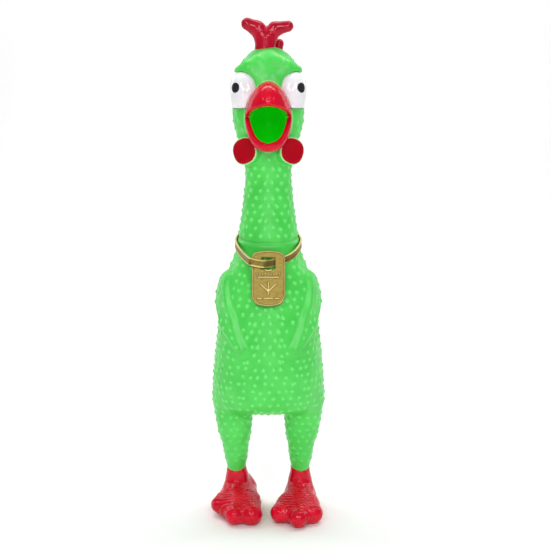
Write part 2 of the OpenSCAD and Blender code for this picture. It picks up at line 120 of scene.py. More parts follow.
def limb(g, points, k=0.0, flat=1.0):
    """Round lobes in a row, [x, y, z, radius], each running into the next. flat below 1 thins them in y."""
    field = None
    for a, b in zip(points[:-1], points[1:]):
        d = [b[i] - a[i] for i in range(3)]
        x, y, z = g.x - a[0], g.y - a[1], g.z - a[2]
        t = np.clip((x * d[0] + y * d[1] + z * d[2]) / (d[0] ** 2 + d[1] ** 2 + d[2] ** 2), 0, 1)
        gap = np.sqrt((x - t * d[0]) ** 2 + ((y - t * d[1]) / flat) ** 2 + (z - t * d[2]) ** 2)
        part = gap - (a[3] + t * (b[3] - a[3]))
        field = part if field is None else join(field, part, k)
    return field


def stack(g, rows):
    """A body of oval sections. Rows are height, half width, depth in front and depth behind."""
    z = g.z[0, 0, :]
    half, front, back = (curve(rows, c, z)[None, None, :] for c in (1, 2, 3))
    r = np.sqrt(g.x * g.x + g.y * g.y)
    q = np.sqrt((g.x / half) ** 2 + (g.y / np.where(g.y < 0, front, back)) ** 2)
    return r - r / np.maximum(q, 1e-4)


def evened(g, field):
    """The field with its slope brought to about 1, so that blends keep their size."""
    field = g.full(field)
    slopes = np.gradient(field, g.step)
    steep = np.sqrt(slopes[0] ** 2 + slopes[1] ** 2 + slopes[2] ** 2)
    return field / np.maximum(steep, 0.25)


def smoothstep(t):
    t = np.clip(t, 0, 1)
    return t * t * (3 - 2 * t)


# ---------------------------------------------------------------- meshes


def surface(g, field):
    """The shape's surface as vertices and quads, by placing one vertex in each cell that it crosses."""
    field = np.ascontiguousarray(g.full(field), dtype=np.float32)
    inside = field < 0
    cells_shape = tuple(n - 1 for n in field.shape)
    count = np.zeros(cells_shape, np.int8)
    for i in (0, 1):
        for j in (0, 1):
            for k in (0, 1):
                count += inside[i : i + cells_shape[0], j : j + cells_shape[1], k : k + cells_shape[2]]
    cells = np.argwhere((count > 0) & (count < 8))
    number = np.full(cells_shape, -1, np.int32)
    number[tuple(cells.T)] = np.arange(len(cells))
    total, hits = np.zeros((len(cells), 3)), np.zeros(len(cells))
    for axis in range(3):
        unit = np.eye(3, dtype=int)[axis]
        others = [i for i in range(3) if i != axis]
        for a in (0, 1):
            for b in (0, 1):
                start = cells.copy()
                start[:, others[0]] += a
                start[:, others[1]] += b
                f0, f1 = field[tuple(start.T)], field[tuple((start + unit).T)]
                cross = (f0 < 0) != (f1 < 0)
                t = f0[cross] / (f0[cross] - f1[cross])
                total[cross] += start[cross] + t[:, None] * unit
                hits[cross] += 1
    points = g.low + g.step * total / hits[:, None]
    quads = []
    for axis in range(3):
        u, v = (axis + 1) % 3, (axis + 2) % 3
        low = [slice(1, -1)] * 3
        high = [slice(1, -1)] * 3
        low[axis], high[axis] = slice(0, -1), slice(1, None)
        starts_in = inside[tuple(low)]
        at = np.argwhere(starts_in != inside[tuple(high)])
        grow_up = starts_in[tuple(at.T)]
        at[:, u] += 1
        at[:, v] += 1
        du, dv = np.eye(3, dtype=int)[u], np.eye(3, dtype=int)[v]
        q = np.stack([number[tuple((at - o).T)] for o in (0 * du, du, du + dv, dv)], axis=1)
        q[~grow_up] = q[~grow_up][:, ::-1]
        quads.append(q)
    return points, np.concatenate(quads)


def relax(points, quads, times):
    """Evens out a mesh: each time, every vertex moves half way to the middle of its neighbours."""
    a = np.concatenate([quads[:, i] for i in range(4)])
    b = np.concatenate([quads[:, (i + 1) % 4] for i in range(4)])
    n = len(points)
    near = np.bincount(a, minlength=n) + np.bincount(b, minlength=n)
    for _ in range(times):
        total = [np.bincount(a, points[b, i], n) + np.bincount(b, points[a, i], n) for i in range(3)]
        points = points + 0.5 * (np.stack(total, axis=1) / near[:, None] - points)
    return points


def normals(points, quads):
    p = points[quads]
    face = np.cross(p[:, 2] - p[:, 0], p[:, 3] - p[:, 1])
    sums = [np.bincount(quads.ravel(), np.repeat(face[:, i], 4), len(points)) for i in range(3)]
    total = np.stack(sums, axis=1)
    return total / np.maximum(np.linalg.norm(total, axis=1, keepdims=True), 1e-9)


def piece(name, points, faces, body, slot, material, *replaced, values=None, crease=None):
    """A new object from millimetre points that stands for CAD nodes. It rides on a body if one is given."""
    mesh = bpy.data.meshes.new(name)
    mesh.from_pydata((np.asarray(points) * MM).tolist(), [], [list(map(int, f)) for f in faces])
    mesh.shade_smooth()
    if crease is not None:
        mesh.set_sharp_from_angle(angle=math.radians(crease))
    for key, value in (values or {}).items():
        attribute = mesh.attributes.new(key, "FLOAT", "POINT")
        attribute.data.foreach_set("value", np.asarray(value, np.float32))
    mesh.materials.append(material)
    obj = bpy.data.objects.new(name, mesh)
    bpy.context.scene.collection.objects.link(obj)
    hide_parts(*replaced)
    if body:
        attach(obj, body)
    return obj


def red_trim(node_name, g, field, material):
    """A red piece on the head, in place of one CAD node."""
    points, quads = surface(g, field)
    points = relax(points, quads, 3)
    piece(node_name + "_skin", points, quads, "head", "red_vinyl", material, node_name)


# ---------------------------------------------------------------- materials


def shader(name, **sockets):
    material = bpy.data.materials.new(name)
    material.use_nodes = True
    tree = material.node_tree
    bsdf = tree.nodes["Principled BSDF"]
    for key, value in sockets.items():
        bsdf.inputs[key.replace("_", " ")].default_value = value
    return material, tree, bsdf


def node(tree, kind, inputs=None, **settings):
    made = tree.nodes.new(kind)
    for key, value in settings.items():
        setattr(made, key, value)
    for key, value in (inputs or {}).items():
        if isinstance(value, bpy.types.NodeSocket):
            tree.links.new(value, made.inputs[key])
        else:
            made.inputs[key].default_value = value
    return made


def noise(tree, scale, detail):
    where = node(tree, "ShaderNodeTexCoord").outputs["Object"]
    made = node(tree, "ShaderNodeTexNoise", {"Vector": where, "Scale": scale, "Detail": detail})
    return made.outputs["Fac"]


def ramp(tree, fac, low, high):
    made = node(tree, "ShaderNodeValToRGB", {"Fac": fac})
    for element, place, colour in zip(made.color_ramp.elements, (0.3, 0.7), (low, high)):
        element.position, element.color = place, (*colour, 1)
    return made.outputs["Color"]


MIX_FAC, MIX_A, MIX_B, MIX_RESULT = 0, 6, 7, 2  # the mix node's colour sockets


def blend_colour(tree, fac, a, b):
    """Colour a, a socket, turning into colour b."""
    made = node(tree, "ShaderNodeMix", {MIX_FAC: fac}, data_type="RGBA")
    tree.links.new(a, made.inputs[MIX_A])
    made.inputs[MIX_B].default_value = (*b, 1)
    return made.outputs[MIX_RESULT]


def bump(tree, bsdf, height, strength, distance):
    made = node(tree, "ShaderNodeBump", {"Height": height, "Strength": strength, "Distance": distance})
    tree.links.new(made.outputs["Normal"], bsdf.inputs["Normal"])


def range_of(tree, value, low, high):
    return node(tree, "ShaderNodeMapRange", {"Value": value, "To Min": low, "To Max": high}).outputs["Result"]


def painted(tree, name):
    return node(tree, "ShaderNodeAttribute", attribute_name=name).outputs["Fac"]


def green_vinyl():
    """Mottled green, with a painted highlight on the dots, a pale line round the paint, and a darker painted
    shade with a painted glow inside the mouth.
    """
    m, t, bsdf = shader("green vinyl", IOR=1.5)
    base = ramp(t, noise(t, 55, 2), (0.055, 0.62, 0.07), (0.085, 0.72, 0.10))
    # The dot attribute paints a paler green over the dots' tops: a painted highlight.
    dots = blend_colour(t, painted(t, "dot"), base, (0.16, 0.90, 0.18))
    lined = blend_colour(t, painted(t, "line"), dots, (0.36, 0.86, 0.33))
    # Inside the mouth the colour turns to a darker green: painted shade.
    mouth = blend_colour(t, painted(t, "mouth"), lined, (0.004, 0.50, 0.004))
    t.links.new(mouth, bsdf.inputs["Base Color"])
    # Painted glow: the inside of the mouth gives off a green light of its own.
    bsdf.inputs["Emission Color"].default_value = (0.002, 0.42, 0.002, 1)
    t.links.new(range_of(t, painted(t, "mouth"), 0.0, 0.45), bsdf.inputs["Emission Strength"])
    t.links.new(range_of(t, painted(t, "mouth"), 0.5, 0.1), bsdf.inputs["Specular IOR Level"])
    t.links.new(range_of(t, noise(t, 130, 3), 0.26, 0.4), bsdf.inputs["Roughness"])
    bump(t, bsdf, noise(t, 900, 2), 0.25, 0.0002)
    return m


def red_vinyl(name, dark, light, rough, shine):
    m, t, bsdf = shader(name, IOR=1.45, Specular_IOR_Level=shine)
    t.links.new(ramp(t, noise(t, 70, 2), dark, light), bsdf.inputs["Base Color"])
    t.links.new(range_of(t, noise(t, 160, 3), rough, rough + 0.12), bsdf.inputs["Roughness"])
    bump(t, bsdf, noise(t, 420, 3), 0.2, 0.0003)
    return m


def enamel(name, dark, light, rough):
    m, t, bsdf = shader(name, IOR=1.5, Coat_Weight=0.6, Coat_Roughness=0.06)
    t.links.new(ramp(t, noise(t, 60, 2), dark, light), bsdf.inputs["Base Color"])
    t.links.new(range_of(t, noise(t, 200, 2), rough, rough + 0.08), bsdf.inputs["Roughness"])
    bump(t, bsdf, noise(t, 300, 2), 0.08, 0.0002)
    return m


def gold():
    """Gold-coloured coating with fine scratches, and a painted highlight on its raised edges."""
    m, t, bsdf = shader("gold coating", Metallic=0.75, IOR=1.5)
    where = node(t, "ShaderNodeTexCoord").outputs["Object"]
    drawn = node(t, "ShaderNodeMapping", {"Vector": where, "Scale": (1.0, 1.0, 9.0)}).outputs["Vector"]
    fine = node(t, "ShaderNodeTexNoise", {"Vector": drawn, "Scale": 260.0, "Detail": 4.0})
    scratches = fine.outputs["Fac"]
    base = ramp(t, scratches, (0.17, 0.115, 0.018), (0.31, 0.23, 0.055))
    # Painted highlight: a paler gold where the raised attribute is set.
    edge_highlight = blend_colour(t, painted(t, "raised"), base, (0.80, 0.66, 0.26))
    t.links.new(edge_highlight, bsdf.inputs["Base Color"])
    t.links.new(range_of(t, scratches, 0.28, 0.5), bsdf.inputs["Roughness"])
    bump(t, bsdf, scratches, 0.35, 0.0002)
    return m


def plastic(name, dark, light, rough):
    m, t, bsdf = shader(name, IOR=1.46)
    t.links.new(ramp(t, noise(t, 90, 2), dark, light), bsdf.inputs["Base Color"])
    t.links.new(range_of(t, noise(t, 400, 3), rough, rough + 0.1), bsdf.inputs["Roughness"])
    bump(t, bsdf, noise(t, 1200, 2), 0.15, 0.0001)
    return m


GREEN = green_vinyl()
RED = red_vinyl("red vinyl", (0.58, 0.0, 0.016), (0.74, 0.003, 0.028), 0.12, 0.32)
COMB_RED = red_vinyl("deep red vinyl", (0.40, 0.0, 0.016), (0.56, 0.002, 0.028), 0.1, 0.36)
DARK_RED = red_vinyl("dark red vinyl", (0.38, 0.0, 0.006), (0.48, 0.0, 0.012), 0.35, 0.12)
WHITE = enamel("white enamel", (0.84, 0.84, 0.88), (0.93, 0.93, 0.95), 0.12)
BLACK = enamel("black enamel", (0.004, 0.004, 0.005), (0.012, 0.012, 0.014), 0.1)
GOLD = gold()
IVORY = plastic("ivory plastic", (0.72, 0.69, 0.60), (0.82, 0.79, 0.71), 0.4)
REED = plastic("reed film", (0.80, 0.80, 0.76), (0.90, 0.90, 0.86), 0.2)

# ---------------------------------------------------------------- the bird's shape

BODY = [  # height, half width, depth in front, depth behind
    [70, 43, 17, 17], [80, 44, 24, 22], [87, 44.5, 31, 26], [93, 44.7, 35.4, 29.4], [102, 45, 40, 32.3],
    [112, 45.2, 42.2, 34], [128, 43.8, 42.6, 34], [145, 42, 42, 33], [163, 40, 40, 31.3], [178, 39, 37.6, 30],
    [191, 36.6, 34, 28.2], [203, 31.6, 30.6, 26.9], [214, 27.2, 27, 25.6], [221, 25, 24.9, 24.8],
    [228, 24, 23.9, 24.2], [236, 22.8, 22.8, 22.8], [245, 21.4, 21.4, 21.4], [256, 20, 20, 20],
    [270, 18.6, 18.6, 18.6], [280, 18.2, 18.2, 18.2], [292.5, 19.3, 19.2, 19.2], [300, 21.2, 21, 20.5],
    [309, 25, 22.4, 22], [314, 26.4, 22.8, 22.7], [320, 27.6, 23, 23.4], [328, 28.3, 23.2, 23.9],
    [336, 28.2, 23.4, 24.2], [345, 26.6, 23, 24], [356, 24.6, 20.6, 22.4], [364, 21.4, 16.8, 19],
    [370.6, 17.0, 12.8, 14.6], [375.3, 10.8, 8.4, 9.4], [377.8, 4, 3.6, 4], [379.5, 0.5, 0.5, 0.5],
]
LEG = [  # height, half width, distance from the middle
    [20, 7.4, 26.5], [34, 7.5, 26.5], [39, 8.3, 26.6], [44.5, 9.5, 26.8], [55, 10.9, 27.1], [65, 13.3, 27.6],
    [76, 14.8, 28.2], [84, 16, 28.2], [95, 17.5, 27.4], [108, 17.5, 26],
]
LEG_Y = -1.0
TAIL = [[0, 24, 104, 11], [0, 37, 117, 7.5], [0, 47.5, 127, 4.6]]
WING = [[77, 188, 15.5], [53, 165, 9.8], [30, 144, 5.2]]  # degrees from the breastbone, height, radius
MM_PER_DEGREE = 0.7
WING_THICK, WING_RIDGE = 3.4, 0.7  # the ridge runs just inside the wing's outline
FOLD_DEEP, FOLD_LIP = 1.3, 0.45  # the crease round the root of the neck, and the roll below it
LUMP_HEIGHT = 0.22
CROTCH_Z = 86.0
SKIN_LOW_Z, SKIN_TOP_Z = 28, 378.8  # hidden in the feet and under the comb
LEG_CUT_Z, NECK_CUT_Z, HEAD_CUT_Z = 79.0, 227.0, 275.0

EYE, EYE_RADII, EYE_POWER, LID_Z = (17.3, -9.0, 339.4), (12.1, 14.5, 19.2), 2.4, 330.8
EYE_LEAN = 0.13  # how far the eye's top leans outwards for each unit of height
BROW = [[7, -8, 363.5, 8], [14.5, -10, 360.6, 6.8], [21.9, -8.0, 359.0, 4.4]]
MOUTH, MOUTH_RADII = (0, -16, 318.5), (12.9, 26, 15.5)
LIP_Z, LIP_RISE, LIP_START, LIP_RUN = 324.0, 9.5, 20.0, 26.5  # the upper lip climbs towards the beak's tip
BEAK_HALF, LOWER_POWER = 18.2, 2.15
LOWER = [  # distance forward, half width, height of the lip, height of the chin
    [8, BEAK_HALF, 323.9, 297.2], [19, BEAK_HALF, 323.9, 297.2], [24, 17.3, 319.6, 297.2],
    [28, 15.8, 315, 297.3], [32, 13.6, 310.2, 297.6], [35.5, 10.6, 306.8, 298.2],
    [38, 7, 305.2, 299.2], [39.5, 3.8, 304.6, 300.4], [40.3, 1, 304.2, 302],
]
CHIN_BACK, CHIN_TIP = LOWER[0][0], LOWER[-1][0]
BEAK_WALL = 4.0
WATTLE, WATTLE_TURN, WATTLE_ROLL = (18.0, -17.5, 297.8), math.radians(36), math.radians(-20)
WATTLE_WIDE, WATTLE_HIGH, WATTLE_POWER = 11.2, 10.2, 2.3


def mirrored(g):
    """The same samples, with those on the bird's right taken across to its left."""
    return Points(np.abs(g.x), g.y, g.z)


def inside_wing(g):
    """How far each point lies inside the outline of a wing, laid flat."""
    z = g.z[0, 0, :]
    half, front = curve(BODY, 1, z)[None, None, :], curve(BODY, 2, z)[None, None, :]
    u = np.degrees(np.arctan2(np.abs(g.x) / half, -g.y / front)) * MM_PER_DEGREE
    field = None
    for a, b in zip(WING[:-1], WING[1:]):
        au, du, dv = a[0] * MM_PER_DEGREE, (b[0] - a[0]) * MM_PER_DEGREE, b[1] - a[1]
        t = np.clip(((u - au) * du + (g.z - a[1]) * dv) / (du * du + dv * dv), 0, 1)
        gap = np.sqrt((u - au - t * du) ** 2 + (g.z - a[1] - t * dv) ** 2)
        part = gap - (a[2] + t * (b[2] - a[2]))
        field = part if field is None else join(field, part, 6)
    return -field


def leaning_egg(g, grow):
    """Both eyeballs, whole, grown by some millimetres."""
    g = mirrored(g)
    upright = Points(g.x - EYE_LEAN * (g.z - EYE[2]), g.y, g.z)
    return egg(upright, EYE, [r + grow for r in EYE_RADII], EYE_POWER)


def eye_egg(g, grow=0.0):
    """Both eyes as they are seen, cut level at the lower lid."""
    return meet(leaning_egg(g, grow), LID_Z - grow - g.z, 1.2)


def upper_mass(g):
    """The upper half of the beak as one lump, its sides run straight down past the lip."""
    s = np.maximum((-g.y - LIP_START) / LIP_RUN, 0)
    z = np.maximum(g.z - LIP_Z - LIP_RISE * s, 0)
    rise = z / (26.7 - 3.3 * s)
    near = (np.abs(g.x) / BEAK_HALF) ** 1.8 + rise ** (1.5 + 0.5 * smoothstep(s * 1.4)) + s * s
    return evened(g, (np.sqrt(near) - 1) * 18)


def lower_mass(g):
    """The lower half of the beak as one lump, its sides run straight up past the lip."""
    forward = np.clip(-g.y, CHIN_BACK, CHIN_TIP)
    half, lip, chin = (curve(LOWER, c, forward) for c in (1, 2, 3))
    down = np.maximum(lip - g.z, 0) / (lip - chin)
    near = (np.abs(g.x) / half) ** LOWER_POWER + down**LOWER_POWER
    return evened(g, (near ** (1 / LOWER_POWER) - 1) * half + np.maximum(-g.y - CHIN_TIP, 0))


def upper_lip_z(g):
    return LIP_Z + LIP_RISE * np.maximum((-g.y - LIP_START) / LIP_RUN, 0)


def lower_lip_z(g):
    return curve(LOWER, 2, np.clip(-g.y, CHIN_BACK, CHIN_TIP))


def mouth_egg(g, grow=0.0):
    """The hollow of the mouth."""
    return egg(g, MOUTH, [r + grow for r in MOUTH_RADII])


def wattle_axes(g):
    """Distances across, up and out of the left wattle's face, from its centre, for points on either side."""
    x, y, z = np.abs(g.x) - WATTLE[0], g.y - WATTLE[1], g.z - WATTLE[2]
    across = x * math.cos(WATTLE_TURN) + y * math.sin(WATTLE_TURN)
    out = x * math.sin(WATTLE_TURN) - y * math.cos(WATTLE_TURN)
    c, s = math.cos(WATTLE_ROLL), math.sin(WATTLE_ROLL)
    return across * c + z * s, z * c - across * s, out


def wattle_pad(g, grow=0.0):
    """Both wattles, as thick rounded buttons."""
    u, v, out = wattle_axes(g)
    wide, high = np.abs(u / WATTLE_WIDE) ** WATTLE_POWER, np.abs(v / WATTLE_HIGH) ** WATTLE_POWER
    around = (wide + high) ** (1 / WATTLE_POWER)
    return meet((around - 1) * WATTLE_HIGH - grow, np.abs(out + 2.5) - 5.0, 2.4)


def bird_field(g):
    """Everything green, as one skin."""
    field = stack(g, BODY)
    deep = inside_wing(g)
    ridge = WING_RIDGE * np.exp(-(((deep - 3.4) / 3.2) ** 2)) * smoothstep((g.z - 118) / 20)
    field = evened(g, field - WING_THICK * smoothstep((deep + 0.8) / 5.0) - ridge)
    fold_z = NECK_CUT_Z - 1 + 1.6 * (g.x / 25) ** 2 + np.where(g.y > 0, 1.5, 0)
    field = field + FOLD_DEEP * np.exp(-(((g.z - fold_z) / 0.9) ** 2))
    below_fold = np.clip((fold_z - g.z) / 6, 0, 1)
    field = field - FOLD_LIP * np.where(g.z < fold_z, np.exp(-(((below_fold - 0.45) / 0.3) ** 2)), 0)
    field = meet(field, CROTCH_Z - g.z, 11)
    z = g.z[0, 0, :]
    width, middle = curve(LEG, 1, z)[None, None, :], curve(LEG, 2, z)[None, None, :]
    for side in (-1, 1):
        leg = np.sqrt((g.x - side * middle) ** 2 + (g.y - LEG_Y) ** 2) - width
        field = join(field, meet(leg, g.z - 104, 6), 5)
    field = join(field, limb(g, TAIL, 4), 7)
    field = join(field, limb(mirrored(g), BROW, 4), 4)
    seat = meet(wattle_pad(g, 0.4), wattle_axes(g)[2] - 1.6, 0.6)
    field = join(field, seat, 1.2)
    lumps = np.sin(g.x / 2.3 + 0.9 * np.sin(g.z / 3.1))
    lumps = lumps * np.sin(g.z / 2.6 + 0.8 * np.sin(g.y / 2.9 + g.x / 5))
    field = field + LUMP_HEIGHT * lumps * smoothstep((g.z - 296) / 20)
    field = cut(field, eye_egg(g, 0.3), 0.8)
    field = cut(field, mouth_egg(g), 1.2)
    return meet(field, np.maximum(g.z - SKIN_TOP_Z, SKIN_LOW_Z - g.z))


def near_points(points, centres, reach):
    """Each point's distance to its nearest centre, no more than reach, and which centre that is."""
    distance, which = np.full(len(points), reach), np.zeros(len(points), int)
    order = np.argsort(centres[:, 2])
    centres_z = centres[order, 2]
    by_level = np.argsort(points[:, 2])
    for some in np.array_split(by_level, max(1, len(points) // 1500)):
        z = points[some, 2]
        near = order[np.searchsorted(centres_z, z[0] - reach) : np.searchsorted(centres_z, z[-1] + reach)]
        if len(near):
            gaps = np.sqrt(((points[some][:, None, :] - centres[near][None, :, :]) ** 2).sum(2))
            nearest = gaps.argmin(1)
            distance[some] = np.minimum(gaps[np.arange(len(some)), nearest], reach)
            which[some] = near[nearest]
    return distance, which


def dot_row(tree, middle, z, pitch, shift, width, reach, inward=False):
    """Dots round a middle point at one level, where rays out from it, or in towards it, meet the skin."""
    found = []
    n = max(5, round(2 * math.pi * width / pitch))
    for i in range(n):
        a = -math.pi / 2 + 2 * math.pi * (i + shift) / n + rng.normal(0, 0.035)
        ray = Vector((math.cos(a), math.sin(a), 0))
        start = Vector((middle[0], middle[1], z + rng.normal(0, 0.5)))
        if inward:
            start, ray = start + reach * ray, -ray
        hit = tree.ray_cast(start, ray, reach)[0]
        if hit is not None:
            found.append(tuple(hit))
    return found


# Rows of dots: the lowest and highest level, the height between rows, and the pitch along a row.
TORSO_DOTS, LEG_DOTS, NECK_DOTS = (87, 222, 6.0, 7.3), (43, 83, 5.6, 6.6), (231.5, 372, 5.9, 7.2)


def body_dots(tree, rows, reach, inward=False):
    """Dots round the torso, neck or head. Every second row is shifted by half a pitch."""
    low, high, rise, pitch = rows
    found = []
    for n, z in enumerate(np.arange(low, high, rise)):
        half, front = float(curve(BODY, 1, z)), float(curve(BODY, 2, z))
        found += dot_row(tree, (0, 0), z, pitch, 0.5 * (n % 2), (half + front) / 2, reach, inward)
    return found


def leg_dots(tree, side, reach):
    low, high, rise, pitch = LEG_DOTS
    found = []
    for n, z in enumerate(np.arange(low, high, rise)):
        width, middle = float(curve(LEG, 1, z)), float(curve(LEG, 2, z))
        found += dot_row(tree, (side * middle, LEG_Y), z, pitch, 0.5 * (n % 2), width, reach)
    return found


def dot_centres(points, quads):
    tree = BVHTree.FromPolygons([tuple(p) for p in points], [tuple(int(i) for i in q) for q in quads])
    found = body_dots(tree, TORSO_DOTS, 75)
    for side in (-1, 1):
        found += leg_dots(tree, side, 19.5)
    return np.array(found + body_dots(tree, NECK_DOTS, 40, inward=True))


def sample(g, field, points):
    """A field's value at each point. Points off the grid take the value at its edge."""
    field = g.full(field)
    top = np.array(field.shape) - 1.001
    where = np.clip((points - g.low) / g.step, 0, top)
    base = where.astype(int)
    t = where - base
    total = 0
    for i in (0, 1):
        for j in (0, 1):
            for k in (0, 1):
                share = np.abs(1 - i - t[:, 0]) * np.abs(1 - j - t[:, 1]) * np.abs(1 - k - t[:, 2])
                total = total + share * field[base[:, 0] + i, base[:, 1] + j, base[:, 2] + k]
    return total


# ---------------------------------------------------------------- the green skin

STEP = 0.76
g = Grid((-50, -50, 25), (50, 56, 380), STEP)
skin, quads = surface(g, bird_field(g))
skin = relax(skin, quads, 3)

face = Grid((-36, -54, 284), (36, 14, 368), 1.0)
UPPER_MASS, LOWER_MASS = upper_mass(face), lower_mass(face)
beak_gap = np.where(face.z > LIP_Z, UPPER_MASS, LOWER_MASS) + np.clip(face.y + 4, 0, 12)
paint_gap = np.minimum(np.minimum(eye_egg(face), wattle_pad(face)), beak_gap)
wing_grid = Grid((-50, -50, 110), (50, 50, 205), 1.0)
wing_deep = inside_wing(wing_grid)


def wanted(centres):
    """Leaves out the dots on smooth places."""
    x, y, z = centres.T
    deep = sample(wing_grid, wing_deep, centres)
    keep = (z < 214) | (z > 230)  # the fold round the root of the neck
    keep &= (z < 112) | (z > 203) | (deep < -1.0) | (deep > 4.6)  # the wings' edges
    keep &= (z < 290) | (sample(face, paint_gap, centres) > 2.6)  # eyes, beak and wattles
    keep &= (z < 298) | (np.abs(x) > 12) | (y > 4)  # the throat
    keep &= (z < 345) | (y > 2) | (np.abs(x) > 11)  # the forehead
    return keep & (z < 371)  # the root of the comb


DOT_R, DOT_REACH = 2.3, 2.8
centres = dot_centres(skin, quads)
centres = centres[wanted(centres)]
size = rng.uniform(0.85, 1.08, len(centres))
tall = np.interp(centres[:, 2], [40, 60, 90, 230, 290, 320], [0.45, 0.7, 0.95, 0.95, 0.85, 0.75])
distance, which = near_points(skin, centres, DOT_REACH)
dot = np.clip(1 - (distance / (DOT_R * size[which])) ** 2, 0, 1) ** 2
way_out = normals(skin, quads)
skin = skin + way_out * (dot * tall[which] * size[which])[:, None]
way_out = normals(skin, quads)

# Paint at each vertex, from 0 to 1: the painted shade and glow inside the mouth, the pale line, and the
# painted highlight on the dots.
skin_at = Points(*skin.T)
from_beak = sample(face, beak_gap, skin)
from_mouth = sample(face, mouth_egg(face, 0.4), skin)
# Where the mouth's painted shade and painted glow go.
mouth_shade_and_glow = np.where(skin_at.z > 300, np.clip(1.6 - from_mouth / 0.5, 0, 1), 0)
behind_beak = np.where((skin_at.y < -8) & (skin_at.z > 300), np.clip(-from_beak / 0.8, 0, 1), 0)
mouth_shade_and_glow = np.maximum(mouth_shade_and_glow * (from_beak < 0.8), behind_beak)
from_paint = sample(face, paint_gap, skin)
line = np.where(skin_at.z > 286, np.clip(1.5 - np.abs(from_paint - 0.2) / 0.6, 0, 1), 0)
behind_wattle = (sample(face, wattle_pad(face, 3), skin) < 0) & (wattle_axes(skin_at)[2] < 0.4)
line = np.where(behind_wattle, 0, line * (1 - mouth_shade_and_glow))
# Painted highlight on the dots, weaker on the legs and on the head.
dot_highlight_paint = dot * np.interp(skin_at.z, [50, 95, 290, 330], [0.4, 1, 1, 0.3])


def skin_piece(name, chosen, rings, nodes, body):
    """Part of the skin as a piece. Rings are the middles of its cut edges, which fans of triangles close."""
    faces = quads[chosen]
    used, flat = np.unique(faces, return_inverse=True)
    faces = flat.reshape(-1, 4)
    a, b = faces.ravel(), np.roll(faces, -1, axis=1).ravel()
    n = len(used)
    edge, back = a.astype(np.int64) * n + b, b.astype(np.int64) * n + a
    open_edges = ~np.isin(edge, back)
    points, out = list(skin[used]), list(way_out[used])
    polygons = faces.tolist()
    ends = skin[used][a[open_edges]]
    nearest = np.linalg.norm(ends[:, None, :] - np.array(rings, float)[None], axis=2).argmin(1)
    for k, ring in enumerate(rings):
        own = nearest == k
        points.append(ends[own].mean(0))
        out.append(np.array((0, 0, 1.0 if ring[2] > points[0][2] else -1.0)))
        middle = len(points) - 1
        polygons += [[int(q), int(p), middle] for p, q in zip(a[open_edges][own], b[open_edges][own])]
    spare = [0.0] * len(rings)
    values = {
        "dot": np.append(dot_highlight_paint[used], spare),
        "line": np.append(line[used], spare),
        "mouth": np.append(mouth_shade_and_glow[used], spare),
    }
    made = piece(name, points, polygons, body, "green_vinyl", GREEN, *nodes, values=values)
    made.data.normals_split_custom_set_from_vertices([tuple(v) for v in out])
    return made


face_x, _, face_z = skin[quads].mean(axis=1).T
below, above, in_head = face_z < LEG_CUT_Z, face_z >= NECK_CUT_Z, face_z >= HEAD_CUT_Z
hips = [(28, LEG_Y, LEG_CUT_Z), (-28, LEG_Y, LEG_CUT_Z)]
neck_foot, head_foot = (0, 0, NECK_CUT_Z), (0, 0, HEAD_CUT_Z)

torso = skin_piece("torso_skin", ~below & ~above, hips + [neck_foot], ["torso_shell", "belly_wall"], None)
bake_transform(torso)
neck = skin_piece("neck_skin", above & ~in_head, [neck_foot, head_foot], ["neck_shell"], None)
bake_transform(neck)
head = skin_piece("head_skin", in_head, [head_foot], ["head_shell"], None)
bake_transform(head)
for side, hip, chosen in (("left", hips[0], face_x > 0), ("right", hips[1], face_x < 0)):
    leg = skin_piece(side + "_leg_skin", below & chosen, [hip], [side + "_leg_shell"], None)
    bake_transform(leg)

# ---------------------------------------------------------------- beak, eyes, wattles and comb


def twins(name, points, faces, body, slot, material):
    """The left piece and its mirror image on the right."""
    left, right = "left_" + name, "right_" + name
    other = points * np.array([-1, 1, 1])
    return (
        piece(left + "_skin", points, faces, body, slot, material, left),
        piece(right + "_skin", other, faces[:, ::-1], body, slot, material, right),
    )


g = Grid((-21, -50, 294), (21, -8, 355), 0.55)
BEAK_BACK_Y = -11
FLUTE_PITCH, FLUTE_DEEP, FLUTES_Z, FLUTES_HALF = 3.3, 0.22, 338.5, 5.8  # short grooves over the upper lip
mass = upper_mass(g)
flutes = FLUTE_DEEP * np.cos(g.x * 2 * math.pi / FLUTE_PITCH)
flutes = flutes * np.exp(-(((g.z - FLUTES_Z) / 3.4) ** 2)) * (np.abs(g.x) < FLUTES_HALF)
upper = meet(mass + flutes, upper_lip_z(g) - g.z, 0.7)
upper = cut(upper, mass + BEAK_WALL, 1.2)
red_trim("upper_beak", g, meet(upper, g.y - BEAK_BACK_Y), RED)
mass = lower_mass(g)
lower = cut(meet(mass, g.z - lower_lip_z(g), 0.7), mass + BEAK_WALL, 1.4)
red_trim("lower_beak", g, meet(lower, g.y - BEAK_BACK_Y), RED)

g = Grid((2, -27, 328), (34, 8, 362), 0.5)
rim = meet(leaning_egg(g, 0.5), np.abs(g.z - LID_Z - 0.8) - 0.8, 0.6)
eye = join(eye_egg(g), rim, 0.5)
eye = cut(eye, upper_mass(g) - 0.15, 0.3)
points, faces = surface(g, eye)
twins("eye", relax(points, faces, 3), faces, "head", "white_enamel", WHITE)

PUPIL_X, PUPIL_Z, PUPIL_R = 25.6, 346.2, 4.0
rise = PUPIL_Z - EYE[2]
across, up = (PUPIL_X - EYE[0] - EYE_LEAN * rise) / EYE_RADII[0], rise / EYE_RADII[2]
share = 1 - across**EYE_POWER - up**EYE_POWER
pupil_at = (PUPIL_X, EYE[1] - EYE_RADII[1] * share ** (1 / EYE_POWER), PUPIL_Z)
g = Grid((19, -25, 339), (32, -8, 352), 0.25)
shell = meet(leaning_egg(g, 0.22), -leaning_egg(g, -1.2))
points, faces = surface(g, meet(shell, ball(g, pupil_at, PUPIL_R), 0.3))
twins("pupil", relax(points, faces, 2), faces, "head", "black_enamel", BLACK)

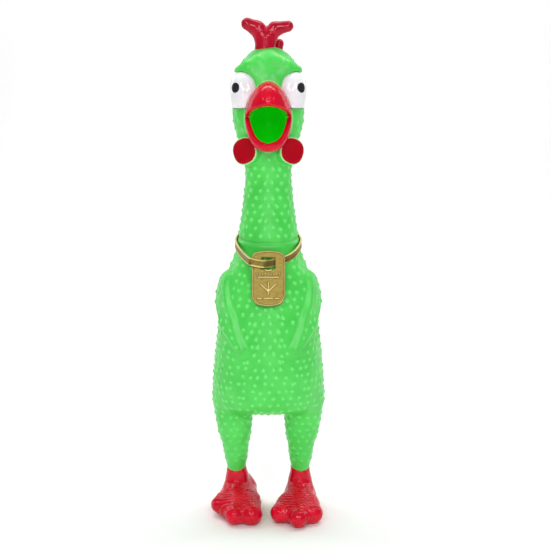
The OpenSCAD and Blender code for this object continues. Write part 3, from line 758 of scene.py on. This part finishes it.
g = Grid((4, -30, 284), (32, -6, 313), 0.5)
face_u, face_v, face_out = wattle_axes(g)
dish = 0.45 * np.exp(-((face_u**2 + face_v**2) / 40))
pad = meet(wattle_pad(g, -0.1) + dish, -face_out - 4.5)
points, faces = surface(g, pad)
for made in twins("wattle", relax(points, faces, 3), faces, None, "red_vinyl", DARK_RED):
    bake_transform(made)

g = Grid((-26, -12, 369), (24, 14, 402), 0.55)
stem = [[-2.7, 0, 374.5, 7.8], [-3.0, 0, 384, 7.3], [-8.7, 0, 391.3, 5.9], [-16.4, 0, 395.0, 4.8]]
branch = [[-2.4, 0, 374.5, 7.8], [-1.0, 0, 384, 7.0], [5.2, 0, 391, 5.5], [15.2, 0, 393.2, 4.4]]
COMB_FLAT = 0.86
comb = join(limb(g, stem, 2.5, COMB_FLAT), limb(g, branch, 2.5, COMB_FLAT), 1.6)
ripple = 0.07 * np.sin((g.x * 0.5 + g.z) * 1.15 + 0.5 * np.sin(g.x * 0.7)) * smoothstep((g.z - 378) / 8)
red_trim("comb", g, comb + ripple, COMB_RED)
lobe = limb(g, [[7.2, 9, 371, 3.6], [7.6, 9, 375, 3.4], [8.4, 9, 380.3, 3.9]], 1.5)
red_trim("comb_rear_lobe", g, lobe, COMB_RED)

# ---------------------------------------------------------------- feet

LEG_X = 26.5
FEET = {  # toes, then the lobes of the spur: [x, y, z, radius] from the leg's axis at the ground
    "left": (
        [[-17.0, -35, 7.8, 7.8], [-2.5, -44.3, 7.5, 7.5], [9.6, -35.5, 7.8, 7.8]],
        [[0, 3, 24, 8], [0, 9, 17, 6], [0, 15, 12, 4.5]],
    ),
    "right": (
        [[-13.2, -21, 9.4, 7.2], [-0.8, -38.6, 7.6, 7.6], [13.0, -38.4, 7.5, 7.5]],
        [[1, 2, 26, 8], [6, 8, 19, 6.4], [10.4, 9, 13.5, 5.4], [12.4, -14, 10, 7], [13.0, -36, 7.4, 7.4]],
    ),
}
WEB_REACH = 0.88  # how far the webs come forward between two toes, as a share of the toes' length
SHIN_R, SOCK_GAP = 8.9, 0.45  # the red shin's radius at the foot, and how far it stands off the green leg
WRINKLE_PITCH, WRINKLE_DEEP = 2.9, 0.3
FOLD_Z, FOLD_HEIGHT = 19.8, 0.6
SOCK_TOP_Z, SOCK_DIP = 35.4, 1.6


def foot_shape(g, toes, spur):
    """Shin, instep, toes with the webs between them, and spur."""
    width = curve(LEG, 1, g.z[0, 0, :])[None, None, :]
    shin_r = SHIN_R + (width + SOCK_GAP - SHIN_R) * smoothstep((g.z - 20) / 16)
    shin = np.sqrt(g.x**2 + (g.y - LEG_Y) ** 2) - shin_r
    foot = join(meet(shin, g.z - 41), limb(g, [[0, LEG_Y, 14, 10], [0, -5, 11.5, 11.2]]), 7)
    for x, y, z, r in toes:
        toe = limb(g, [[x * 0.12, -5, 12, 10], [x * 0.6, y * 0.6, 9.2, 8.4], [x, y, z, r]], 5)
        foot = join(foot, toe, 4.5)
    for one, two in zip(toes[:-1], toes[1:]):
        x, y = ((one[i] + two[i]) * 0.5 * WEB_REACH for i in range(2))
        web = limb(g, [[0, -5, 12, 10], [x * 0.55, y * 0.6, 9.2, 8.4], [x, y, 7.4, 7.2]], 5)
        foot = join(foot, web, 4)
    return join(foot, limb(g, spur, 4), 5)


def foot_wrinkles(g):
    """Rings across the top of the foot, and one fold over the instep."""
    reach = np.sqrt(g.x**2 + (g.y - 6) ** 2)
    top = smoothstep((g.z - 4) / 5) * smoothstep((reach - 18) / 6) * smoothstep((54 - reach) / 8)
    rings = np.cos(reach * 2 * math.pi / WRINKLE_PITCH + 0.9 * np.sin(g.x * 0.45)) * top
    fold_z = FOLD_Z - 0.02 * g.x**2 + 0.7 * np.sin(g.x * 0.9)
    fold = np.exp(-(((g.z - fold_z) / 1.1) ** 2)) - 0.9 * np.exp(-(((g.z - fold_z + 2.4) / 1.3) ** 2))
    fold = fold * smoothstep((-g.y - 3) / 5) * smoothstep((g.y + 19) / 4)
    return WRINKLE_DEEP * rings + FOLD_HEIGHT * fold


for side, sign in (("left", 1), ("right", -1)):
    g = Grid((-29, -57, -1), (24, 22, 42), 0.6)
    foot = foot_shape(g, *FEET[side]) + foot_wrinkles(g)
    angle = np.arctan2(np.abs(g.x), -g.y)
    edge_z = SOCK_TOP_Z - SOCK_DIP * np.exp(-((angle / 0.8) ** 2)) - 0.09 * sign * g.x
    foot = meet(meet(foot, g.z - edge_z, 0.5), 0.02 - g.z, 2.5)
    points, faces = surface(g, foot)
    points = relax(points, faces, 2) + np.array([sign * LEG_X, 0, 0])
    points[:, 2] = np.maximum(points[:, 2], 0.0)
    piece(side + "_foot_skin", points, faces, side + "_leg", "red_vinyl", RED, side + "_foot")

# ---------------------------------------------------------------- collar and tag

TAG_Y, TAG_T, TAG_W, TAG_L, TAG_TILT = -33.38, 2.0, 26.0, 43.5, math.radians(16)
TAG_TOP_R, TAG_FOOT_R = 31, 34
SLOT_Z, SLOT_DROP, SLOT_HALF_W, SLOT_HALF_H = 212.0, 10.0, 5.2, 4.3
BAND_H, BAND_T, BAND_GAP = 6.0, 1.5, 0.95
BAND_Z, BAND_FALL, BAND_CLIMB = 223.5, 11.5, 10.5  # height at the sides, down to the front, up to the back
OVER_TAG = [  # how far forward the band has to pass at each x, out over the tag and in again through its slot
    [-25.2, 0], [-24.3, -10.4], [-13.8, -37.1], [-3.4, -37.1], [3.4, -28.9], [3.5, 0],
]


def band_point(a):
    """Middle of the band's inner face in direction a: down to the tag in front, up behind the neck."""
    s, c = math.sin(a), math.cos(a)
    z = BAND_Z - BAND_FALL * (-s) ** 1.5 if s < 0 else BAND_Z + BAND_CLIMB * s**1.2
    root_z = min(z, NECK_CUT_Z)
    half = float(curve(BODY, 1, root_z))
    deep = float(curve(BODY, 2 if s < 0 else 3, root_z))
    r = 1 / math.hypot(c / half, s / deep) + BAND_GAP
    y = r * s
    if s < 0:
        y = min(y, float(np.interp(r * c, [p[0] for p in OVER_TAG], [p[1] for p in OVER_TAG])))
    return np.array([r * c, y, z])


STEPS = 360
path = np.array([band_point(-math.pi / 2 + 2 * math.pi * (i + 0.5) / STEPS) for i in range(STEPS)])
for _ in range(6):
    path = 0.5 * path + 0.25 * (np.roll(path, 1, axis=0) + np.roll(path, -1, axis=0))
along = np.roll(path, -1, axis=0) - np.roll(path, 1, axis=0)
outward = np.stack([along[:, 1], -along[:, 0], 0 * along[:, 0]], axis=1)
outward /= np.linalg.norm(outward, axis=1, keepdims=True)
section = [  # outwards, then up, each as a share of the band's thickness and half height
    [0, -0.9], [0.15, -1], [0.8, -1], [1, -0.93], [1, -0.78], [0.86, -0.68], [0.86, -0.3], [0.86, 0.3],
    [0.86, 0.68], [1, 0.78], [1, 0.93], [0.8, 1], [0.15, 1], [0, 0.9], [0, 0.3], [0, -0.3],
]
points, raised = [], []
for at, out in zip(path, outward):
    for o, u in section:
        points.append(at + out * (o * BAND_T) + np.array([0, 0, u * BAND_H / 2]))
        # Painted highlight along the band's outer top and bottom edges.
        raised.append(0.9 if abs(u) > 0.75 and o > 0.1 else 0.0)
k = len(section)
faces = [
    [i * k + j, (i + 1) % STEPS * k + j, (i + 1) % STEPS * k + (j + 1) % k, i * k + (j + 1) % k]
    for i in range(STEPS)
    for j in range(k)
]
paint = {"raised": raised}
piece("collar_skin", points, faces, "torso", "gold_coating", GOLD, "collar_band", values=paint, crease=50)


BEADS, BEAD_PITCH, BEADS_Y, BEAD_R, STROKE_R = 9, 2.2, 25.2, 0.78, 0.72
STROKES = [
    [(-8, 22.6), (8, 22.6)],  # a rule under the beads
    [(-8.4, 6.2), (-5.2, 6.2)], [(-3.4, 6.2), (3.4, 6.2)], [(5.2, 6.2), (8.4, 6.2)],  # three dashes
    [(0, 9.6), (0, 18.6)], [(0, 11.6), (-6, 17.4)], [(0, 11.6), (6, 17.4)], [(0, 9.6), (0, 8.6)],  # a foot
    [(-2.4, 28.4), (0, 27.6)], [(0, 27.6), (2.4, 28.4)],  # a shallow V over the beads
]


def tag_marks(g):
    """Raised patterns in place of lettering."""
    front = TAG_T / 2
    first_x = -BEAD_PITCH * (BEADS - 1) / 2
    marks = ball(g, (first_x, BEADS_Y, front - 0.15), BEAD_R)
    for i in range(1, BEADS):
        marks = np.minimum(marks, ball(g, (first_x + BEAD_PITCH * i, BEADS_Y, front - 0.15), BEAD_R))
    for (ax, ay), (bx, by) in STROKES:
        stroke = limb(g, [[ax, ay, front - 0.25, STROKE_R], [bx, by, front - 0.25, STROKE_R]])
        marks = np.minimum(marks, stroke)
    return marks


def tag_field(g):
    """The tag laid flat: x across, y up from its lower end, z out from the middle of its thickness."""
    top = np.sqrt(g.x * g.x + (g.y - (TAG_L - TAG_TOP_R)) ** 2) - TAG_TOP_R
    foot = np.sqrt(g.x * g.x + (g.y - TAG_FOOT_R) ** 2) - TAG_FOOT_R
    outline = meet(meet(np.abs(g.x) - TAG_W / 2, top, 2.4), foot, 6.5)
    plate = meet(outline, np.abs(g.z) - TAG_T / 2, 0.7)
    rim = meet(np.abs(outline + 0.75) - 0.4, g.z - TAG_T / 2 - 0.4, 0.3)
    plate = join(plate, meet(rim, -g.z), 0.25)
    plate = join(plate, tag_marks(g), 0.25)
    slot = np.maximum(np.abs(g.x) - SLOT_HALF_W, np.abs(g.y - (TAG_L - SLOT_DROP)) - SLOT_HALF_H)
    return cut(plate, slot, 0.5)


g = Grid((-14, -1, -2.2), (14, 45, 2.2), 0.3)
flat, faces = surface(g, tag_field(g))
flat = relax(flat, faces, 1)
# Painted highlight on the tag's rim and raised marks.
raised = 0.75 * smoothstep((flat[:, 2] - TAG_T / 2 - 0.1) / 0.35)
c, s = math.cos(TAG_TILT), math.sin(TAG_TILT)
up = flat[:, 1] - (TAG_L - SLOT_DROP)
points = np.stack([flat[:, 0], TAG_Y + up * s - flat[:, 2] * c, SLOT_Z + up * c + flat[:, 2] * s], axis=1)
piece("tag_skin", points, faces, "tag", "gold_coating", GOLD, "tag", values={"raised": raised})

# ---------------------------------------------------------------- the pieces inside

for name in ("squeaker_barrel", "squeaker_cap", "reed_carrier", "reed_block", "reed_clamp", "reed_tongue"):
    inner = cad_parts[name]
    inner.data.materials.clear()
    inner.data.materials.append(REED if name == "reed_tongue" else IVORY)

# ---------------------------------------------------------------- studio

SWEEP_R, FLOOR_W, FRONT_Y, BACK_Y = 0.5, 8.0, -4.0, 1.6
profile = [(FRONT_Y, 0.0)] + [
    (BACK_Y + SWEEP_R * math.sin(a), SWEEP_R * (1 - math.cos(a))) for a in np.linspace(0, math.pi / 2, 24)
] + [(BACK_Y + SWEEP_R, 5.0)]
verts = [(x, y, z) for y, z in profile for x in (-FLOOR_W / 2, FLOOR_W / 2)]
mesh = bpy.data.meshes.new("floor")
mesh.from_pydata(verts, [], [[2 * i, 2 * i + 1, 2 * i + 3, 2 * i + 2] for i in range(len(profile) - 1)])
mesh.shade_smooth()
paper, tree, bsdf = shader("pale paper", Roughness=0.75, IOR=1.3)
shade = ramp(tree, noise(tree, 3, 2), (0.93, 0.93, 0.93), (0.96, 0.96, 0.96))
tree.links.new(shade, bsdf.inputs["Base Color"])
mesh.materials.append(paper)
floor = bpy.data.objects.new("floor", mesh)
bpy.context.scene.collection.objects.link(floor)


def softbox(name, at, target, size, power):
    """A white panel light at one place, turned to face another."""
    light = bpy.data.lights.new(name, "AREA")
    light.shape, light.size, light.size_y = "RECTANGLE", size[0], size[1]
    light.energy = power
    obj = bpy.data.objects.new(name, light)
    obj.location = at
    obj.rotation_euler = (Vector(target) - Vector(at)).to_track_quat("-Z", "Y").to_euler()
    bpy.context.scene.collection.objects.link(obj)


softbox("left softbox", (-0.42, -1.15, 1.05), (0, 0, 0.22), (0.2, 0.5), 3.7)
softbox("right softbox", (0.42, -1.15, 0.98), (0, 0, 0.22), (0.2, 0.5), 3.3)
softbox("left glint", (-0.17, -1.15, 0.66), (0, 0, 0.2), (0.09, 0.14), 1.1)
softbox("right glint", (0.15, -1.15, 0.66), (0, 0, 0.2), (0.09, 0.14), 1.0)
softbox("low fill", (0, -1.7, 0.25), (0, 0, 0.12), (1.2, 0.4), 1.8)
softbox("top softbox", (0, 0.1, 1.5), (0, 0, 0.2), (1.0, 1.0), 3.4)
softbox("left rim", (-1.1, 0.7, 0.7), (0, 0, 0.2), (0.4, 1.0), 2.4)
softbox("right rim", (1.1, 0.7, 0.7), (0, 0, 0.2), (0.4, 1.0), 2.4)
softbox("backdrop light", (0, 0.5, 2.2), (0, 2.0, 0.5), (3.0, 0.6), 42)

world = bpy.data.worlds.new("studio")
world.use_nodes = True
world.node_tree.nodes["Background"].inputs["Color"].default_value = (1, 1, 1, 1)
world.node_tree.nodes["Background"].inputs["Strength"].default_value = 0.26
bpy.context.scene.world = world
bpy.context.scene.view_settings.view_transform = "Standard"

camera = bpy.data.cameras.new("camera")
camera.sensor_width, camera.lens = 36.0, 69.78
camera.shift_x, camera.shift_y = 0.013, -0.0082
camera.clip_start = 0.01
view = bpy.data.objects.new("camera", camera)
view.location = (0.0, -0.85, 0.35)
view.rotation_euler = (math.radians(80), 0, 0)
bpy.context.scene.collection.objects.link(view)
bpy.context.scene.camera = view
